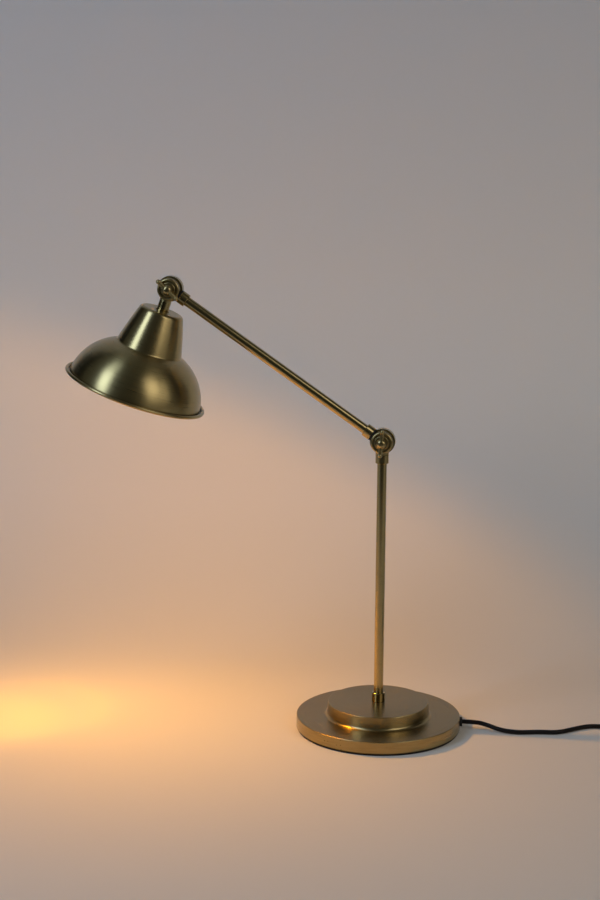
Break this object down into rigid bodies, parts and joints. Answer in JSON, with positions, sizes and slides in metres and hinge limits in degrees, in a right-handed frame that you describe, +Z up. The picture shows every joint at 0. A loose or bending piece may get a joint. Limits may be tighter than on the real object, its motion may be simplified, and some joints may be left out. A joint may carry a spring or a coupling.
{
  "type": "swing arm desk lamp",
  "caption": "Table lamp with a stepped round base, an upright stem and a tilting arm on half-lap knuckles with thumb nuts, carrying a domed spun shade with a conical top.",
  "frame": {"origin": "on the table, at the centre of the base's underside, under the stem", "axes": "+Z up along the stem, the arm lies in the XZ plane with the shade towards -X, the knuckles' hinge axes run along Y with the thumb nuts on the -Y side"},
  "size_m": [0.8574, 0.2406, 0.5491],
  "materials": {
    "spun_brass": "antique brass, satin, fine circular spinning lines",
    "turned_brass": "antique brass, smooth semi-gloss",
    "plated_steel": "zinc plated",
    "cast_iron": "rough cast",
    "black_pad": "matte",
    "black_band": "satin black",
    "fibre": "matte fibre",
    "black_rubber": "matte",
    "cable_sheath": "satin black sheath",
    "black_plastic": "fine texture",
    "nickel": "nickel plated",
    "tie_plastic": "satin",
    "holder_plastic": "moulded, semi-gloss",
    "bulb_metal": "rolled thread",
    "bulb_glass": "frosted"
  },
  "bodies": {
    "stand": {"base_cover": "spun_brass", "base_weight": "cast_iron", "base_pad": "black_pad", "base_lock_washer": "plated_steel", "base_lock_nut": "plated_steel", "base_nipple": "plated_steel", "cable_grommet": "black_rubber", "stem_foot_collar": "turned_brass", "stem_tube": "turned_brass", "stem_top_collar": "turned_brass", "stem_cable": "cable_sheath", "elbow_front_half": "turned_brass", "cord_lead": "cable_sheath", "switch_lower_shell": "black_plastic", "switch_upper_shell": "black_plastic", "cord_coil": "cable_sheath", "coil_tie": "tie_plastic", "plug_body": "black_plastic", "plug_pins": "nickel"},
    "arm": {"elbow_rear_half": "turned_brass", "elbow_friction_washer": "fibre", "elbow_ring_washer": "turned_brass", "elbow_pivot_bolt": "plated_steel", "arm_lower_band": "black_band", "arm_lower_collar": "turned_brass", "arm_tube": "turned_brass", "arm_cable": "cable_sheath", "arm_upper_collar": "turned_brass", "arm_upper_band": "black_band", "head_rear_half": "turned_brass", "head_friction_washer": "fibre", "head_ring_washer": "turned_brass", "head_pivot_bolt": "plated_steel"},
    "head": {"head_front_half": "turned_brass", "shade_neck": "turned_brass", "neck_ring": "turned_brass", "neck_cable": "cable_sheath", "shade_cap": "spun_brass", "shade_shoulder": "spun_brass", "shade_dome": "spun_brass", "shade_rim": "spun_brass", "shade_nipple": "plated_steel", "shade_lock_nut": "plated_steel", "lampholder_cap": "holder_plastic", "lampholder_body": "holder_plastic", "bulb_cap": "bulb_metal", "bulb_glass": "bulb_glass"},
    "elbow_nut": {"elbow_thumb_nut": "turned_brass"},
    "head_nut": {"head_thumb_nut": "turned_brass"},
    "rocker": {"switch_rocker": "black_plastic"}
  },
  "joints": [
    {"name": "elbow_hinge", "type": "hinge", "parent": "stand", "child": "arm", "pos_m": [0, 0, 0.357], "axis": [0, 1, 0], "range_deg": [-62, 172]},
    {"name": "head_hinge", "type": "hinge", "parent": "arm", "child": "head", "pos_m": [-0.25641, 0, 0.53388], "axis": [0, 1, 0], "range_deg": [-13, 222]},
    {"name": "elbow_nut_turn", "type": "hinge", "parent": "arm", "child": "elbow_nut", "pos_m": [0, 0, 0.357], "axis": [0, -1, 0], "range_deg": [0, 360]},
    {"name": "head_nut_turn", "type": "hinge", "parent": "arm", "child": "head_nut", "pos_m": [-0.25641, 0, 0.53388], "axis": [0, -1, 0], "range_deg": [0, 360]},
    {"name": "switch_press", "type": "hinge", "parent": "stand", "child": "rocker", "pos_m": [0.347, 0.0325, 0.014], "axis": [0, 1, 0], "range_deg": [0, 14]}
  ]
}
